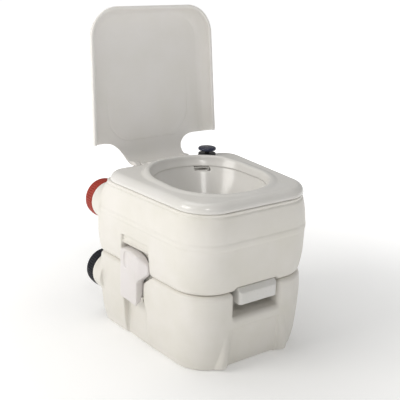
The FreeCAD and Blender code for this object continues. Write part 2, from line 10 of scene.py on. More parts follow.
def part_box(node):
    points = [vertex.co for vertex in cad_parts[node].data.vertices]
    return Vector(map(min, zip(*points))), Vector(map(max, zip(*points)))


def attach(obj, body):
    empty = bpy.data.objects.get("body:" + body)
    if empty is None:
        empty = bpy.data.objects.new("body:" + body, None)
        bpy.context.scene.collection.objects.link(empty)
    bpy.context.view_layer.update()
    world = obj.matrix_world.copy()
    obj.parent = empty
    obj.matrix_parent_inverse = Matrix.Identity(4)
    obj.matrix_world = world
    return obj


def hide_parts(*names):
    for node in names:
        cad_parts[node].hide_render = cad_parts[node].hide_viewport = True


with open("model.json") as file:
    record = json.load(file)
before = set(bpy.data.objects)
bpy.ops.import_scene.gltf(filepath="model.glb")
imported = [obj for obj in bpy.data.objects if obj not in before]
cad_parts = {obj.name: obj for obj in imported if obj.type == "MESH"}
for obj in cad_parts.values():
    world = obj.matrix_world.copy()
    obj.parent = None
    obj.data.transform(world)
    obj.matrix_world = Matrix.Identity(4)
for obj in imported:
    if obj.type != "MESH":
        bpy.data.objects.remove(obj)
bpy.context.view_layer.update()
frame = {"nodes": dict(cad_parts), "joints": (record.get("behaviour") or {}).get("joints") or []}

# ---- waste tank ---------------------------------------------------------------------------
# The lower tank, blow-moulded in one piece from ivory polyethylene about 3 mm thick. The mould gives it
# soft edges, a recess for the valve handle, a channel for each latch and a neck for pouring out.
REAR_HALF, FRONT_HALF, HALF_DEPTH = 0.162, 0.139, 0.153
SIDE_TAPER = (REAR_HALF - FRONT_HALF) / (2 * HALF_DEPTH)
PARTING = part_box("valve_frame")[1].z + 0.0005
CELL = 0.0018


def both(a, b, radius):
    """Distance to what two shapes share, its outer edge rounded."""
    over = np.hypot(np.maximum(a + radius, 0), np.maximum(b + radius, 0))
    return np.minimum(np.maximum(a, b), -radius) + over


def joined(a, b, radius):
    """Distance to two shapes together, with a fillet where they meet."""
    return -both(-a, -b, radius)


def without(a, b, radius):
    """Distance to shape a with b cut from it, the cut's rim rounded."""
    return both(a, -b, radius)


def block(x, y, z, low, high, radius):
    """Distance to a box with rounded edges."""
    sides = [np.abs(v - (a + b) / 2) - (b - a) / 2 + radius for v, a, b in zip((x, y, z), low, high)]
    outside = np.sqrt(sum(np.maximum(side, 0) ** 2 for side in sides))
    return outside + np.minimum(np.maximum(np.maximum(sides[0], sides[1]), sides[2]), 0) - radius


def soft_curve(z, heights, values, blur=0.010):
    """Value at height z on a line through the given points, its corners smoothed."""
    fine = np.arange(heights[0] - 3 * blur, heights[-1] + 3 * blur, 0.001)
    line = np.interp(fine, heights, values)
    reach = int(2 * blur / 0.001)
    weight = np.hanning(2 * reach + 1)
    smooth = np.convolve(np.pad(line, reach, mode="edge"), weight / weight.sum(), mode="valid")
    return np.interp(z, fine, smooth)


def tank_outline(x, y, side, front, rear, front_corner, rear_corner=0.020):
    """Distance to the tank's plan outline, a rounded trapezoid, grown on its sides, front and rear."""
    flank = (np.abs(x) - REAR_HALF - side - SIDE_TAPER * (y - HALF_DEPTH)) / math.hypot(1, SIDE_TAPER)
    nose = both(flank, -y - HALF_DEPTH - front, front_corner)
    return np.maximum(nose, both(flank, y - HALF_DEPTH - rear, rear_corner))


def skin(name, field, low, high, cell):
    """Mesh of the surface where field is zero: one point in each cell that it crosses, pulled onto it."""
    counts = [int(round((b - a) / cell)) + 1 for a, b in zip(low, high)]
    axes = [np.linspace(a, b, n, dtype=np.float32) for a, b, n in zip(low, high, counts)]
    step = np.array([axis[1] - axis[0] for axis in axes])
    values = field(*np.meshgrid(*axes, indexing="ij"))
    inside = values < 0
    corners = [(i, j, k) for i in (0, 1) for j in (0, 1) for k in (0, 1)]
    nx, ny, nz = (n - 1 for n in counts)
    filled = sum(inside[i:nx + i, j:ny + j, k:nz + k].astype(np.int8) for i, j, k in corners)
    cells = np.argwhere((filled > 0) & (filled < 8))
    number = np.full(filled.shape, -1, np.int64)
    number[tuple(cells.T)] = np.arange(len(cells))
    total, hits = np.zeros((len(cells), 3)), np.zeros(len(cells))
    for corner in corners:
        for axis in range(3):
            if corner[axis]:
                continue
            unit = np.eye(3, dtype=int)[axis]
            a = values[tuple((cells + corner).T)]
            b = values[tuple((cells + corner + unit).T)]
            crossed = (a < 0) != (b < 0)
            along = a[crossed] / (a[crossed] - b[crossed])
            total[crossed] += np.array(corner) + np.outer(along, unit)
            hits[crossed] += 1
    points = np.array(low) + (cells + total / hits[:, None]) * step
    probe = cell / 8
    for _ in range(4):
        here = field(*points.T)
        slope = np.stack([field(*(points + e).T) - field(*(points - e).T)
                          for e in np.eye(3) * probe], 1) / (2 * probe)
        move = here / np.maximum((slope ** 2).sum(1), 0.3)
        points -= np.clip(move, -cell / 2, cell / 2)[:, None] * slope
    quads = []
    for a in range(3):
        b, c = (a + 1) % 3, (a + 2) % 3
        first = np.moveaxis(inside, a, 0)
        spots = np.argwhere(first[:-1] != first[1:])
        spots = np.insert(spots[:, 1:], a, spots[:, 0], axis=1)
        along_b, along_c = spots[:, b], spots[:, c]
        keep = (along_b > 0) & (along_b < counts[b] - 1) & (along_c > 0) & (along_c < counts[c] - 1)
        spots = spots[keep]
        ring = []
        for shift_b, shift_c in ((1, 1), (0, 1), (0, 0), (1, 0)):
            around = spots.copy()
            around[:, b] -= shift_b
            around[:, c] -= shift_c
            ring.append(number[tuple(around.T)])
        ring = np.stack(ring, 1)
        outward = inside[tuple(spots.T)]
        quads.append(np.where(outward[:, None], ring, ring[:, ::-1]))
    mesh = bpy.data.meshes.new(name)
    mesh.from_pydata(points.tolist(), [], np.concatenate(quads).tolist())
    mesh.shade_smooth()
    piece = bpy.data.objects.new(name, mesh)
    bpy.context.scene.collection.objects.link(piece)
    return piece


def add_node(tree, kind, **sockets):
    node = tree.nodes.new(kind)
    for name, value in sockets.items():
        node.inputs[name.replace("_", " ")].default_value = value
    return node


def moulded(name, colour, roughness, grain=0.15, grain_size=0.0015, tint=0.06, coat=0.0, specular=0.5):
    """Moulded plastic: slightly uneven colour and gloss, fine handling marks, and the mould's grain as bump."""
    material = bpy.data.materials.new(name)
    material.use_nodes = True
    tree = material.node_tree
    shader = tree.nodes["Principled BSDF"]
    place = tree.nodes.new("ShaderNodeTexCoord")
    clouds = add_node(tree, "ShaderNodeTexNoise", Scale=14.0, Detail=4.0, Roughness=0.55)
    marks = add_node(tree, "ShaderNodeTexNoise", Scale=160.0, Detail=6.0, Roughness=0.7)
    fine = add_node(tree, "ShaderNodeTexNoise", Scale=1.0 / grain_size, Detail=2.0, Roughness=0.5)
    for texture in (clouds, marks, fine):
        tree.links.new(place.outputs["Object"], texture.inputs["Vector"])
    shades = tree.nodes.new("ShaderNodeValToRGB")
    shades.color_ramp.elements[0].position = 0.3
    shades.color_ramp.elements[1].position = 0.7
    red, green, blue = colour
    shades.color_ramp.elements[0].color = (red * (1 - tint), green * (1 - tint), blue * (1 - 1.5 * tint), 1)
    shades.color_ramp.elements[1].color = (*colour, 1)
    tree.links.new(clouds.outputs["Fac"], shades.inputs["Fac"])
    tree.links.new(shades.outputs["Color"], shader.inputs["Base Color"])
    gloss = tree.nodes.new("ShaderNodeMapRange")
    gloss.inputs["From Min"].default_value = 0.35
    gloss.inputs["From Max"].default_value = 0.75
    gloss.inputs["To Min"].default_value = roughness * 0.88
    gloss.inputs["To Max"].default_value = min(1.0, roughness * 1.2)
    tree.links.new(marks.outputs["Fac"], gloss.inputs["Value"])
    tree.links.new(gloss.outputs["Result"], shader.inputs["Roughness"])
    bump = add_node(tree, "ShaderNodeBump", Strength=grain, Distance=grain_size * 0.25)
    tree.links.new(fine.outputs["Fac"], bump.inputs["Height"])
    tree.links.new(bump.outputs["Normal"], shader.inputs["Normal"])
    shader.inputs["Coat Weight"].default_value = coat
    shader.inputs["Coat Roughness"].default_value = 0.08
    shader.inputs["Specular IOR Level"].default_value = specular
    return material


def grown(low, high, margin=0.003):
    """Corners of a box with a margin on every side."""
    return tuple(v - margin for v in low), tuple(v + margin for v in high)


def dress(piece, material):
    piece.data.materials.clear()
    piece.data.materials.append(material)


WASTE_HEIGHTS = [0.0, 0.030, 0.085, 0.127, PARTING]
TOP_EDGE, BOTTOM_EDGE = 0.009, 0.007
CHANNEL_FLOOR = 0.142
CHANNEL_REAR, POCKET_FRONT = 0.077, -0.012
RECESS_HALF, RECESS_BACK, RECESS_LOW = 0.0545, 0.112, 0.106
valve_low, valve_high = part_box("valve_frame")
CAP_X = (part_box("waste_cap")[0].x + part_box("waste_cap")[1].x) / 2
WASTE_CAP_Z = (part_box("waste_cap")[0].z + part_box("waste_cap")[1].z) / 2
NECK_RADIUS, NECK_BORE, NECK_END = 0.034, 0.029, 0.1995
THREAD_PITCH, THREAD_START, THREAD_DEPTH = 0.008, 0.186, 0.0011


def neck(x, y, z, height):
    """Distance to a cap's neck on the rear wall: a thick boss at its root, then the threaded part."""
    radial = np.hypot(x - CAP_X, z - height)
    turn = np.arctan2(z - height, x - CAP_X)
    thread = THREAD_DEPTH * np.maximum(0, np.cos((y - THREAD_START) * 2 * math.pi / THREAD_PITCH + turn))
    threaded = both(radial - NECK_RADIUS + 0.0012 - thread, np.abs(y - 0.175) - (NECK_END - 0.175), 0.001)
    return np.minimum(threaded, both(radial - 0.0395, np.abs(y - 0.165) - 0.0165, 0.002))


def latch_channel(x, y, z):
    """Distance to one latch's channel: it widens at the top for the latch's head and is ramped at the foot."""
    front = np.interp(z, [0.138, 0.156], [0.0085, POCKET_FRONT])
    slope = 1.05 * np.clip((0.104 - z) / 0.03, 0, 1)
    ramp = (front - y - slope * (np.abs(x) - CHANNEL_FLOOR)) / np.hypot(1, slope)
    return both(both(CHANNEL_FLOOR - np.abs(x), ramp, 0.004), y - CHANNEL_REAR, 0.004)


def front_relief(x, z):
    """Depth of the front's sunken panel, less the two feet that stand out beside it towards the floor."""
    step = 0.0022
    across = np.clip((0.0585 - np.abs(x)) / step, 0, 1)
    upright = np.clip((0.0855 - z) / step, 0, 1)
    panel = 0.0036 * across * upright
    drop = np.clip((0.084 - z) / 0.070, 0, 1)
    half = 0.0050 + 0.0085 * drop
    foot = np.clip(1 - ((np.abs(x) - 0.0620 - half) / half) ** 2, 0, 1) ** 0.75
    return panel - 0.0095 * drop ** 1.1 * foot * np.clip(z / 0.006, 0.3, 1)


def waste_tank_field(x, y, z):
    side = soft_curve(z, WASTE_HEIGHTS, [-0.009, -0.003, 0.001, 0.002, 0.0])
    front = soft_curve(z, WASTE_HEIGHTS, [-0.003, 0.002, 0.005, 0.006, 0.004])
    rear = soft_curve(z, WASTE_HEIGHTS, [0.008, 0.016, 0.020, 0.020, 0.018])
    body = tank_outline(x, y, side, front, rear, 0.064)
    body = body + np.where(y < -0.10, front_relief(x, z), 0)
    body = both(both(body, z - PARTING, TOP_EDGE), -z, BOTTOM_EDGE)
    body = without(body, latch_channel(x, y, z), 0.0025)
    recess = both(both(np.abs(x) - RECESS_HALF, y + RECESS_BACK, 0.004), RECESS_LOW - z, 0.005)
    body = without(body, recess, 0.011)
    pocket = block(x, y, z, (valve_low.x - 0.0005, valve_low.y, valve_low.z - 0.0005),
                   (-valve_low.x + 0.0005, valve_high.y + 0.0005, PARTING + 0.03), 0.002)
    body = without(body, pocket, 0.001)
    body = joined(body, neck(x, y, z, WASTE_CAP_Z), 0.004)
    bore = both(np.hypot(x - CAP_X, z - WASTE_CAP_Z) - NECK_BORE, np.abs(y - 0.190) - 0.025, 0.001)
    body = without(body, bore, 0.001)
    hollow = block(x, y, z, (-0.120, -0.095, 0.008), (0.120, 0.150, 0.118), 0.012)
    port = both(np.hypot(x, y) - 0.047, np.abs(z - 0.125) - 0.02, 0.001)
    return without(body, joined(hollow, port, 0.004), 0.001)


def latch_lugs(side):
    """Distance field of the two lugs that hold one latch's pin."""
    pin_low, pin_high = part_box("latch_pin_" + side)
    pin_x, pin_z = abs(pin_low.x + pin_high.x) / 2, (pin_low.z + pin_high.z) / 2
    sign = -1 if side == "left" else 1

    def field(x, y, z):
        eye = np.hypot(sign * x - pin_x, z - pin_z) - 0.006
        arm = both(np.abs(z - pin_z) - 0.006, np.abs(sign * x - (CHANNEL_FLOOR + pin_x) / 2) - 0.009, 0.001)
        mid, half = (pin_low.y + pin_high.y) / 2, (pin_high.y - pin_low.y) / 2
        return both(np.minimum(eye, arm), np.abs(np.abs(y - mid) - half + 0.002) - 0.002, 0.0008)
    return field


ivory = moulded("ivory_polyethylene", (0.76, 0.735, 0.69), 0.40, grain=0.08)
waste_tank = skin("waste_tank_shell", waste_tank_field,
                  (-0.175, -0.168, -0.004), (0.175, 0.204, PARTING + 0.004), CELL)
dress(waste_tank, ivory)
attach(waste_tank, "toilet")
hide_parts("waste_tank")
for side in ("left", "right"):
    low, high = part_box("latch_pin_" + side)
    lugs = skin("latch_lugs_" + side, latch_lugs(side), (low.x - 0.022, low.y - 0.003, low.z - 0.010),
                (high.x + 0.022, high.y + 0.003, high.z + 0.010), 0.0014)
    dress(lugs, ivory)
    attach(lugs, "toilet")

# ---- slide valve ---------------------------------------------------------------------------
# A flat grey housing screwed into the tank's top, with a blade that seals against rubber lips. The blade is
# pulled by a light grey handle, injection-moulded and hollow below for the fingers.
valve_grey = moulded("valve_grey", (0.20, 0.20, 0.205), 0.5, grain=0.12)
rubber = moulded("seal_rubber", (0.022, 0.022, 0.023), 0.75, grain=0.3, grain_size=0.0008, tint=0.25)
for node in ("valve_frame", "valve_blade"):
    dress(frame["nodes"][node], valve_grey)
for node in ("valve_lip_seal", "bowl_outlet_seal", "filler_cap_gasket", "waste_cap_gasket",
             "pump_foot_valve", "pump_piston_seal"):
    dress(frame["nodes"][node], rubber)


def brushed(name, colour):
    """Bright stainless steel with fine drawn lines."""
    material = bpy.data.materials.new(name)
    material.use_nodes = True
    tree = material.node_tree
    shader = tree.nodes["Principled BSDF"]
    place = tree.nodes.new("ShaderNodeTexCoord")
    stretch = tree.nodes.new("ShaderNodeMapping")
    stretch.inputs["Scale"].default_value = (3000, 120, 3000)
    lines = add_node(tree, "ShaderNodeTexNoise", Scale=1.0, Detail=3.0)
    tree.links.new(place.outputs["Object"], stretch.inputs["Vector"])
    tree.links.new(stretch.outputs["Vector"], lines.inputs["Vector"])
    shades = tree.nodes.new("ShaderNodeValToRGB")
    shades.color_ramp.elements[0].color = (*[c * 0.8 for c in colour], 1)
    shades.color_ramp.elements[1].color = (*colour, 1)
    tree.links.new(lines.outputs["Fac"], shades.inputs["Fac"])
    tree.links.new(shades.outputs["Color"], shader.inputs["Base Color"])
    bump = add_node(tree, "ShaderNodeBump", Strength=0.15, Distance=0.0001)
    tree.links.new(lines.outputs["Fac"], bump.inputs["Height"])
    tree.links.new(bump.outputs["Normal"], shader.inputs["Normal"])
    shader.inputs["Metallic"].default_value = 1.0
    shader.inputs["Roughness"].default_value = 0.28
    return material


steel = brushed("stainless", (0.62, 0.61, 0.59))
for node in ("valve_frame_screws", "valve_handle_screws", "latch_pin_left", "latch_pin_right",
             "lid_hinge_pin_left", "lid_hinge_pin_right"):
    dress(frame["nodes"][node], steel)

handle_low, handle_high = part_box("valve_handle")


def handle_field(x, y, z):
    """Block with a broad bevel along its upper front edge, small bevels at its ends and a finger hollow."""
    body = block(x, y, z, handle_low, handle_high, 0.0022)
    bevel = (handle_high.z - z + (y - handle_low.y)) / math.sqrt(2) - 0.0065
    body = both(body, -bevel, 0.0015)
    ends = (handle_high.x - np.abs(x) + (y - handle_low.y)) / math.sqrt(2) - 0.0032
    body = both(body, -ends, 0.0012)
    heel = (y - handle_high.y) + (handle_low.z - z) * 0.6 + 0.006
    body = both(body, heel / 1.17, 0.001)
    hollow = block(x, y, z, (-0.041, handle_low.y + 0.005, handle_low.z - 0.02),
                   (0.041, handle_high.y - 0.014, handle_low.z + 0.010), 0.003)
    body = without(body, hollow, 0.001)
    slot = block(x, y, z, (-0.0305, handle_low.y + 0.025, 0.1458), (0.0305, handle_high.y + 0.02, 0.1497), 0.0005)
    screw_holes = np.hypot(np.abs(x) - 0.018, y + 0.130) - 0.0038
    body = without(body, both(screw_holes, z - 0.1375, 0.0005), 0.0004)
    return without(body, slot, 0.0004)


handle_grey = moulded("handle_grey", (0.74, 0.73, 0.715), 0.30, grain=0.002, coat=0.2)
handle = skin("pull_handle", handle_field, *grown(handle_low, handle_high), 0.0012)
dress(handle, handle_grey)
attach(handle, "waste_valve")
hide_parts("valve_handle")

# ---- deck and bowl -------------------------------------------------------------------------
# The deck is the seat. It is injection-moulded with the bowl in one piece of glossy white plastic, with broad
# rounded shoulders, a raised lip round the rear of the bowl and lugs for the lid's hinge.
DECK_TOP = 0.336
DECK_LOW = 0.318
BOWL_HEIGHTS = [0.160, 0.180, 0.200, 0.238, 0.262, 0.317, DECK_TOP]
hinge_joint = next(joint for joint in frame["joints"] if joint["name"] == "lid_hinge")
HINGE = Vector(hinge_joint["pos_m"])
KNUCKLE_RADIUS = 0.007
pump_low, pump_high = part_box("pump_collar")
PUMP_X, PUMP_Y = (pump_low.x + pump_high.x) / 2, (pump_low.y + pump_high.y) / 2
nozzle_low, nozzle_high = Vector((0.040, 0.104, 0.311)), Vector((0.072, 0.124, 0.320))


def bowl_field(x, y, z, grow):
    """Distance to the bowl's funnel, grown by a wall: egg-shaped at the deck and round at the port."""
    half = soft_curve(z, BOWL_HEIGHTS, [0.047, 0.048, 0.055, 0.066, 0.081, 0.098, 0.105], 0.004) + grow
    front = soft_curve(z, BOWL_HEIGHTS, [0.047, 0.048, 0.056, 0.070, 0.088, 0.106, 0.113], 0.004) + grow
    rear = soft_curve(z, BOWL_HEIGHTS, [0.047, 0.048, 0.058, 0.078, 0.098, 0.121, 0.131], 0.004) + grow
    front_r = soft_curve(z, BOWL_HEIGHTS, [0.047, 0.047, 0.054, 0.065, 0.078, 0.092, 0.098], 0.004) + grow
    rear_r = soft_curve(z, BOWL_HEIGHTS, [0.047, 0.047, 0.054, 0.065, 0.079, 0.093, 0.099], 0.004) + grow
    flank = np.abs(x) - half
    return np.maximum(both(flank, -y - front, front_r), both(flank, y - rear, rear_r)) * 0.96


def hinge_lugs(x, y, z):
    """Distance to the deck's two lugs, each a barrel round the hinge line on a short arm."""
    barrel = np.hypot(y - HINGE.y, z - HINGE.z) - KNUCKLE_RADIUS
    arm = both(np.abs(y - 0.162) - 0.016, np.abs(z - HINGE.z - 0.001) - 0.006, 0.001)
    return both(np.minimum(barrel, arm), np.abs(np.abs(x) - 0.0505) - 0.0065, 0.0012)


def deck_field(x, y, z):
    shoulder = tank_outline(x, y, 0.0, 0.0, 0.0, 0.062, 0.044)
    deck = both(both(shoulder, z - DECK_TOP, 0.0155), DECK_LOW - z, 0.0018)
    lift = 0.0075 * np.clip((y + 0.01) / 0.10, 0, 1) ** 2
    rim_ring = bowl_field(x, y, np.full_like(z, DECK_TOP), 0.0)
    lip = both(np.abs(rim_ring - 0.006) - 0.0075, z - DECK_TOP - lift, 0.006)
    deck = joined(deck, both(lip, 0.325 - z, 0.001), 0.006)
    boss = both(np.hypot(x - PUMP_X, y - PUMP_Y) - 0.0205, np.abs(z - 0.327) - 0.009, 0.0015)
    deck = joined(deck, boss, 0.003)
    deck = joined(deck, hinge_lugs(x, y, z), 0.002)
    shelf = block(x, y, z, (-0.0435, 0.120, 0.3185), (0.0435, 0.171, 0.3320), 0.003)
    deck = joined(deck, shelf, 0.004)
    overhang = 0.0022 * np.clip((0.3235 - z) / 0.001, 0, 1) * np.clip((z - 0.262) / 0.05, 0, 1)
    bowl = bowl_field(x, y, z, overhang)
    funnel = both(both(bowl_field(x, y, z, 0.0062), z - 0.329, 0.001), 0.1605 - z, 0.001)
    deck = np.minimum(without(deck, bowl, 0.0045), without(funnel, bowl, 0.0008))
    pump_hole = np.hypot(x - PUMP_X, y - PUMP_Y) - 0.0125
    spout = block(x, y, z, (nozzle_low.x + 0.0015, 0.085, nozzle_low.z + 0.0015),
                  (nozzle_high.x - 0.0015, nozzle_high.y, nozzle_low.z + 0.0105), 0.0015)
    return without(without(deck, pump_hole, 0.0005), spout, 0.001)


deck_white = moulded("deck_white", (0.72, 0.705, 0.68), 0.24, grain=0.004, coat=0.25, tint=0.04)
seat_deck = skin("deck_and_bowl", deck_field, (-0.166, -0.158, 0.157), (0.166, 0.189, 0.348), CELL * 0.9)
dress(seat_deck, deck_white)
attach(seat_deck, "toilet")
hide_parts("seat_deck")
dress(frame["nodes"]["flush_nozzle"], deck_white)

# ---- fresh-water tank ----------------------------------------------------------------------
# The upper tank, blow-moulded from the same ivory polyethylene round a well for the bowl. It bulges under the
# deck, has a shallow belt line, and on each side a pocket with a raised bar above the latch.
TANK_LOW, TANK_TOP = PARTING + 0.0005, 0.3175
FRESH_HEIGHTS = [TANK_LOW, 0.172, 0.200, 0.253, 0.278, 0.300, TANK_TOP]
FILLER_CAP_Z = (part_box("filler_cap")[0].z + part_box("filler_cap")[1].z) / 2
POCKET_REAR, POCKET_TOP, POCKET_STEP = 0.077, 0.222, 0.201
BELT = 0.255


def fresh_tank_field(x, y, z):
    side = soft_curve(z, FRESH_HEIGHTS, [0.000, 0.003, 0.006, 0.007, 0.0065, 0.004, 0.0])
    front = soft_curve(z, FRESH_HEIGHTS, [0.001, 0.004, 0.007, 0.008, 0.007, 0.004, 0.0])
    rear = soft_curve(z, FRESH_HEIGHTS, [0.015, 0.018, 0.020, 0.021, 0.019, 0.014, 0.007])
    rear_corner = soft_curve(z, FRESH_HEIGHTS, [0.020, 0.020, 0.020, 0.021, 0.027, 0.036, 0.044])
    outline = tank_outline(x, y, side, front, rear, 0.068, rear_corner)
    belt = 0.0011 * np.clip((0.0065 - np.abs(z - BELT)) / 0.003, 0, 1)
    groove = 0.0020 * np.clip(1 - np.abs(z - 0.3118) / 0.0034, 0, 1)
    body = outline - np.where(y < 0.150, belt, 0) + groove
    body = both(both(body, TANK_LOW - z, 0.009), z - TANK_TOP, 0.002)
    deep = block(np.abs(x), y, z, (0.142, POCKET_FRONT, 0.12), (0.20, POCKET_REAR, POCKET_STEP), 0.003)
    window = both(np.abs(y - (POCKET_FRONT + POCKET_REAR) / 2) - (POCKET_REAR - POCKET_FRONT) / 2,
                  np.abs(z - 0.20) - (POCKET_TOP - 0.20), 0.004)
    bar = 0.0035 * np.clip(1 - np.abs(z - 0.2065) / 0.004, 0, 1)
    shallow = np.maximum(both(window, -outline - 0.0065 + bar, 0.0015), 0.12 - np.abs(x))
    body = without(body, joined(deep, shallow, 0.002), 0.003)
    rib = block(np.abs(x), y, z, (0.135, 0.025, 0.177), (0.158, 0.061, 0.187), 0.0015)
    body = joined(body, rib, 0.002)
    body = joined(body, neck(x, y, z, FILLER_CAP_Z), 0.004)
    bore = both(np.hypot(x - CAP_X, z - FILLER_CAP_Z) - NECK_BORE, np.abs(y - 0.185) - 0.020, 0.001)
    body = without(body, bore, 0.001)
    well = bowl_field(x, y, z, 0.0065)
    body = without(body, well, 0.001)
    notch = block(x, y, z, (nozzle_low.x - 0.002, 0.090, nozzle_low.z - 0.002),
                  (nozzle_high.x + 0.012, nozzle_high.y + 0.012, TANK_TOP + 0.02), 0.001)
    body = without(body, notch, 0.0005)
    pump_hole = both(np.hypot(x - PUMP_X, y - PUMP_Y) - 0.0128, 0.222 - z, 0.001)
    body = without(body, pump_hole, 0.0005)
    handle_gap = block(x, y, z, (-0.051, -0.20, 0.15),
                       (0.051, handle_high.y + 0.0015, handle_high.z + 0.0015), 0.004)
    return without(body, handle_gap, 0.004)


fresh_tank = skin("fresh_tank_shell", fresh_tank_field,
                  (-0.175, -0.168, TANK_LOW - 0.004), (0.175, 0.204, TANK_TOP + 0.004), CELL)
dress(fresh_tank, ivory)
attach(fresh_tank, "toilet")
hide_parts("fresh_tank")

# ---- lid ----------------------------------------------------------------------------------
# A shallow tray, injection-moulded in matte white plastic, with splayed skirts. Its foot curls down behind the
# deck to two knuckles on the hinge pins. It is shaped closed and then swung open about the hinge.
lid_closed = math.radians(hinge_joint["range_deg"][1])
RIM_Z, LID_DEEP, LID_WALL = 0.3365, 0.035, 0.003
LID_TOP = RIM_Z + LID_DEEP
LID_HALF, LID_NARROW, LID_FRONT, SKIRT_END, PANEL_END = 0.153, 0.007, 0.150, 0.125, 0.131
FOOT_HALF, COVE_RADIUS = 0.072, 0.040
LID_KNUCKLE_X = 0.064


def lid_tray(x, y, z, wall):
    """Distance to the tray's bulk inside its splayed outline; wall shrinks it on every side."""
    rise = np.clip((z - RIM_Z) / LID_DEEP, -0.2, 1)
    splay = 0.0145 * rise ** 2 * np.sign(rise) + 0.001 * rise
    half = LID_HALF - splay - 1.4 * wall + LID_NARROW * (y - SKIRT_END) / (SKIRT_END + LID_FRONT)
    nose = both(np.abs(x) - half, -y - LID_FRONT + 0.8 * splay + 1.4 * wall, 0.060 - 1.4 * wall)
    return both(nose * 0.92, z - LID_TOP + wall, 0.010 - 1.2 * wall)


def foot_profile(y, z):
    """Distance to the curled strip in side view: an arc from the tray's level down towards the hinge."""
    middle = np.array([0.130, LID_TOP - 0.048])
    reach_y, reach_z = 0.0450, 0.0465
    away = np.hypot((y - middle[0]) / reach_y, (z - middle[1]) / reach_z)
    band = np.abs((away - 1) * 0.0455) - LID_WALL / 2
    return np.maximum(band, np.maximum(middle[0] - y, middle[1] + 0.007 - z))


def lid_field(x, y, z):
    """Hollow tray with a bead round its rim and a U-shaped line inside, the foot strip and its knuckles."""
    tray = lid_tray(x, y, z, 0.0)
    rear_end = SKIRT_END + (PANEL_END - SKIRT_END) * np.clip((z - RIM_Z) / LID_DEEP, 0, 1)
    tray = both(tray, y - rear_end, 0.001)
    tray = np.maximum(tray, RIM_Z - z)
    shell = without(tray, lid_tray(x, y, z, LID_WALL), 0.0008)
    bead = both(np.abs(lid_tray(x, y, np.full_like(z, RIM_Z), 0.0) + 0.0026) - 0.0026,
                np.abs(z - RIM_Z - 0.0025) - 0.0025, 0.0018)
    shell = joined(shell, both(bead, y - SKIRT_END, 0.001), 0.003)
    across = both(np.abs(x) - 0.101, y - PANEL_END, 0.060)
    deepen = np.clip((y + 0.005) / 0.06, 0, 1)
    inner_face = np.abs(z - LID_TOP + LID_WALL) < 0.0018
    shell = shell + 0.0012 * deepen * np.clip(1 - np.abs(across) / 0.0042, 0, 1) * inner_face
    strip = both(foot_profile(y, z), np.abs(x) - FOOT_HALF - COVE_RADIUS, 0.001)
    cove_y = PANEL_END + COVE_RADIUS
    cove = np.hypot(np.abs(x) - FOOT_HALF - COVE_RADIUS, y - cove_y) - COVE_RADIUS
    beyond = np.maximum(FOOT_HALF - np.abs(x), cove_y - y)
    strip = np.maximum(np.maximum(strip, -cove), -beyond)
    strip = np.where((np.abs(x) > FOOT_HALF) & (y > cove_y), np.abs(x) - FOOT_HALF, strip)
    cover = np.minimum(shell, strip)
    knuckle = np.hypot(y - HINGE.y, z - HINGE.z) - KNUCKLE_RADIUS
    web = block(x, y, z, (-1, 0.1685, HINGE.z), (1, 0.1755, HINGE.z + 0.020), 0.001)
    ear = both(np.minimum(knuckle, web), np.abs(np.abs(x) - LID_KNUCKLE_X) - 0.006, 0.0008)
    cover = joined(cover, ear, 0.002)
    pin_hole = np.hypot(y - HINGE.y, z - HINGE.z) - 0.0031
    return without(cover, both(pin_hole, np.abs(np.abs(x) - LID_KNUCKLE_X) - 0.012, 0.0003), 0.0003)


lid_white = moulded("lid_white", (0.80, 0.78, 0.755), 0.34, grain=0.08, tint=0.04)
lid = skin("lid_tray", lid_field, (-0.158, -0.155, 0.311), (0.158, 0.188, 0.376), CELL * 0.8)
swing = Matrix.Translation(HINGE) @ Matrix.Rotation(-lid_closed, 4, "X") @ Matrix.Translation(-HINGE)
lid.data.transform(swing)
dress(lid, lid_white)
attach(lid, "lid")
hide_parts("lid")

# ---- latches -------------------------------------------------------------------------------
# One on each side, injection-moulded in light cool grey. Each swings on a steel pin low in the waste tank and
# hooks over a rib of the upper tank; a scoop near its top gives the finger a hold.
latch_grey = moulded("latch_grey", (0.735, 0.70, 0.70), 0.40, grain=0.08)
left_low, left_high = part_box("latch_left")
LATCH_OUT, LATCH_MID, LATCH_HALF = -left_low.x, 0.043, 0.030
left_pin_low, left_pin_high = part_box("latch_pin_left")
PIN_X, PIN_Z = -(left_pin_low.x + left_pin_high.x) / 2, (left_pin_low.z + left_pin_high.z) / 2
HEAD_FRONT = -0.009


